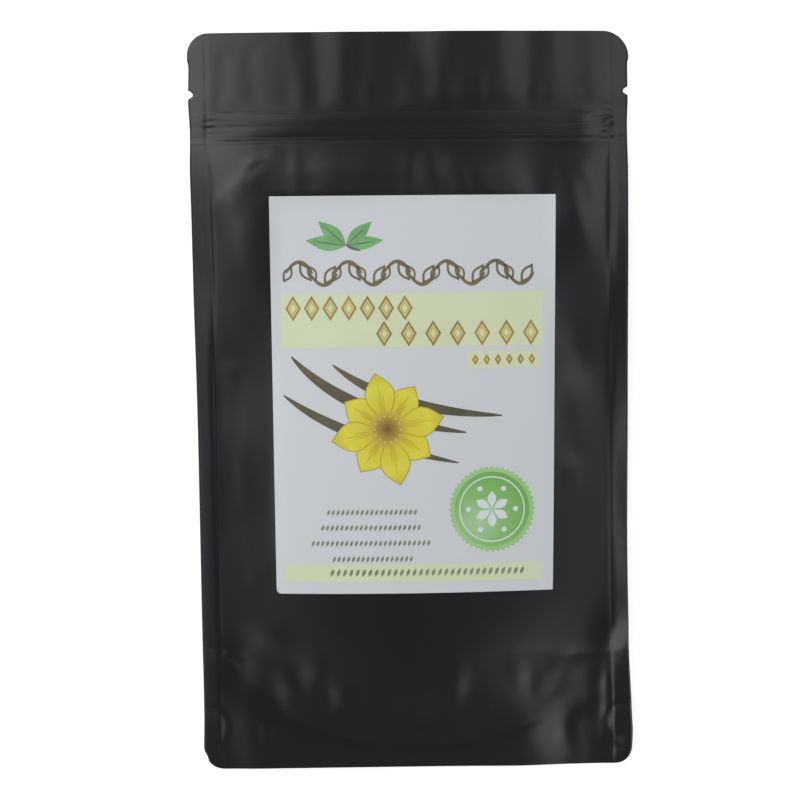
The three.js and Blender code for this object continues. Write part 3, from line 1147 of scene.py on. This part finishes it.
for name, make, layer, ink in (
    ("pale_fields", printFields, 1, paleInk),
    ("garland", printGarland, 2, brownInk),
    ("lozenge_outlines", lambda: printLozenges(*lozenges["outline"]), 2, goldInk),
    ("lozenge_hearts", lambda: printLozenges(*lozenges["heart"]), 2, warmInk),
    ("leaf_sprig", printSprig, 1, leafInk),
    ("leaf_ribs", sprigRibs, 2, darkInk),
    ("pod_strokes", printPods, 1, podInk),
    ("petals_under", lambda: printPetals(1, blossom["short"]), 2, petalInk),
    ("petal_edges_under", lambda: printPetals(1, blossom["short"], blossom["edge"]), 3, veinInk),
    ("petals_over", lambda: printPetals(0, blossom["long"]), 4, petalInk),
    ("petal_edges_over", lambda: printPetals(0, blossom["long"], blossom["edge"]), 5, veinInk),
    ("petal_veins", petalVeins, 5, veinInk),
    ("blossom_cup", printCup, 6, cupInk),
    ("cup_dots", cupDots, 7, warmInk),
    ("seed_rows", printSeeds, 2, oliveInk),
    ("seal_rim", printSealRim, 1, rimInk),
    ("seal_disc", printSealDisc, 2, discInk),
    ("seal_mark", printSealMark, 3, whiteInk),
):
    printPiece(name, make(), layer, ink)
print("stage: print laid on the label")

# Floor, light and camera

studio = {
    "floorSize": 8.0,
    "floorDrop": 0.1,
    "floor": (0.9, 0.9, 0.9, 1),
    "floorRough": 0.9,
    "floorGlow": 0.6,
    "ambient": 0.135,
    "ambientColour": (0.97, 0.98, 1.0, 1),
    "lightColour": (0.955, 0.97, 1.0),
    "distance": 1.7,
    "softboxes": [  # name, degrees from overhead, degrees round from +X, side, brightness
        ("key_high", 31, 143, 0.85, 2.8),
        ("key_low", 64, 145, 1.1, 4.0),
        ("fill_high", 32.5, 25, 0.7, 1.6),
        ("fill_foot", 45, 312, 0.6, 1.9),
        ("fill_foot_left", 45, 222, 0.95, 0.4),
        ("fill_under", 51, 270, 0.8, 0.13),
        ("fill_right", 44, 347, 0.42, 1.6),
        ("fill_left", 48, 187, 0.54, 1.2),
        ("fill_low", 64, 328, 1.0, 1.9),
        ("fill_back", 62, 40, 1.0, 1.1),
        ("fill_side", 62, 215, 1.0, 0.7),
    ],
}


def makeFloor():
    bm = bmesh.new()
    bmesh.ops.create_grid(bm, x_segments=1, y_segments=1, size=studio["floorSize"] / 2)
    floor = meshObject("floor", bm)
    floor.location.z = -studio["floorDrop"] * mm
    look = {"Base Color": studio["floor"], "Roughness": studio["floorRough"]}
    material, _, shader = newMaterial("pale_floor", look)
    shader.inputs["Emission Color"].default_value = (1, 1, 1, 1)
    shader.inputs["Emission Strength"].default_value = studio["floorGlow"]
    floor.data.materials.append(material)


def softbox(name, fromTop, around, side, brightness):
    fromTop, around = math.radians(fromTop), math.radians(around)
    level = math.sin(fromTop)
    towards = Vector((level * math.cos(around), level * math.sin(around), math.cos(fromTop)))
    data = bpy.data.lights.new(name, "AREA")
    data.shape = "SQUARE"
    data.size = side
    data.energy = brightness * math.pi * side**2
    data.color = studio["lightColour"]
    light = bpy.data.objects.new(name, data)
    light.location = towards * studio["distance"]
    light.rotation_euler = (-towards).to_track_quat("-Z", "Y").to_euler()
    light.visible_camera = False
    bpy.context.scene.collection.objects.link(light)


def makeLight():
    world = bpy.data.worlds.new("room")
    bpy.context.scene.world = world
    world.use_nodes = True
    background = world.node_tree.nodes["Background"]
    background.inputs["Color"].default_value = studio["ambientColour"]
    background.inputs["Strength"].default_value = studio["ambient"]
    for settings in studio["softboxes"]:
        softbox(*settings)


# Where the photo's camera stands: millimetres, degrees, and the focal length in pixels

photoView = {
    "distance": 900.0,
    "tilt": 3.91,
    "lean": -0.1,
    "roll": 0.81,
    "right": 4.63,
    "up": -0.87,
    "focal": 2441.5,
    "frame": 800,
    "sensor": 36,
}


def makeCamera():
    turn = [Matrix.Rotation(math.radians(photoView[key]), 3, axis)
            for key, axis in (("roll", "Z"), ("lean", "Y"), ("tilt", "X"))]
    toCamera = turn[0] @ turn[1] @ turn[2]
    toWorld = toCamera.transposed()
    place = toWorld @ Vector((-photoView["right"], -photoView["up"], photoView["distance"])) * mm
    camera = bpy.data.objects.new("camera", bpy.data.cameras.new("camera"))
    camera.matrix_world = Matrix.Translation(place) @ toWorld.to_4x4()
    camera.data.sensor_width = photoView["sensor"]
    camera.data.lens = photoView["focal"] * photoView["sensor"] / photoView["frame"]
    bpy.context.scene.collection.objects.link(camera)
    bpy.context.scene.camera = camera


makeFloor()
makeLight()
makeCamera()
bpy.context.scene.view_settings.view_transform = "Standard"
print("stage: studio made")
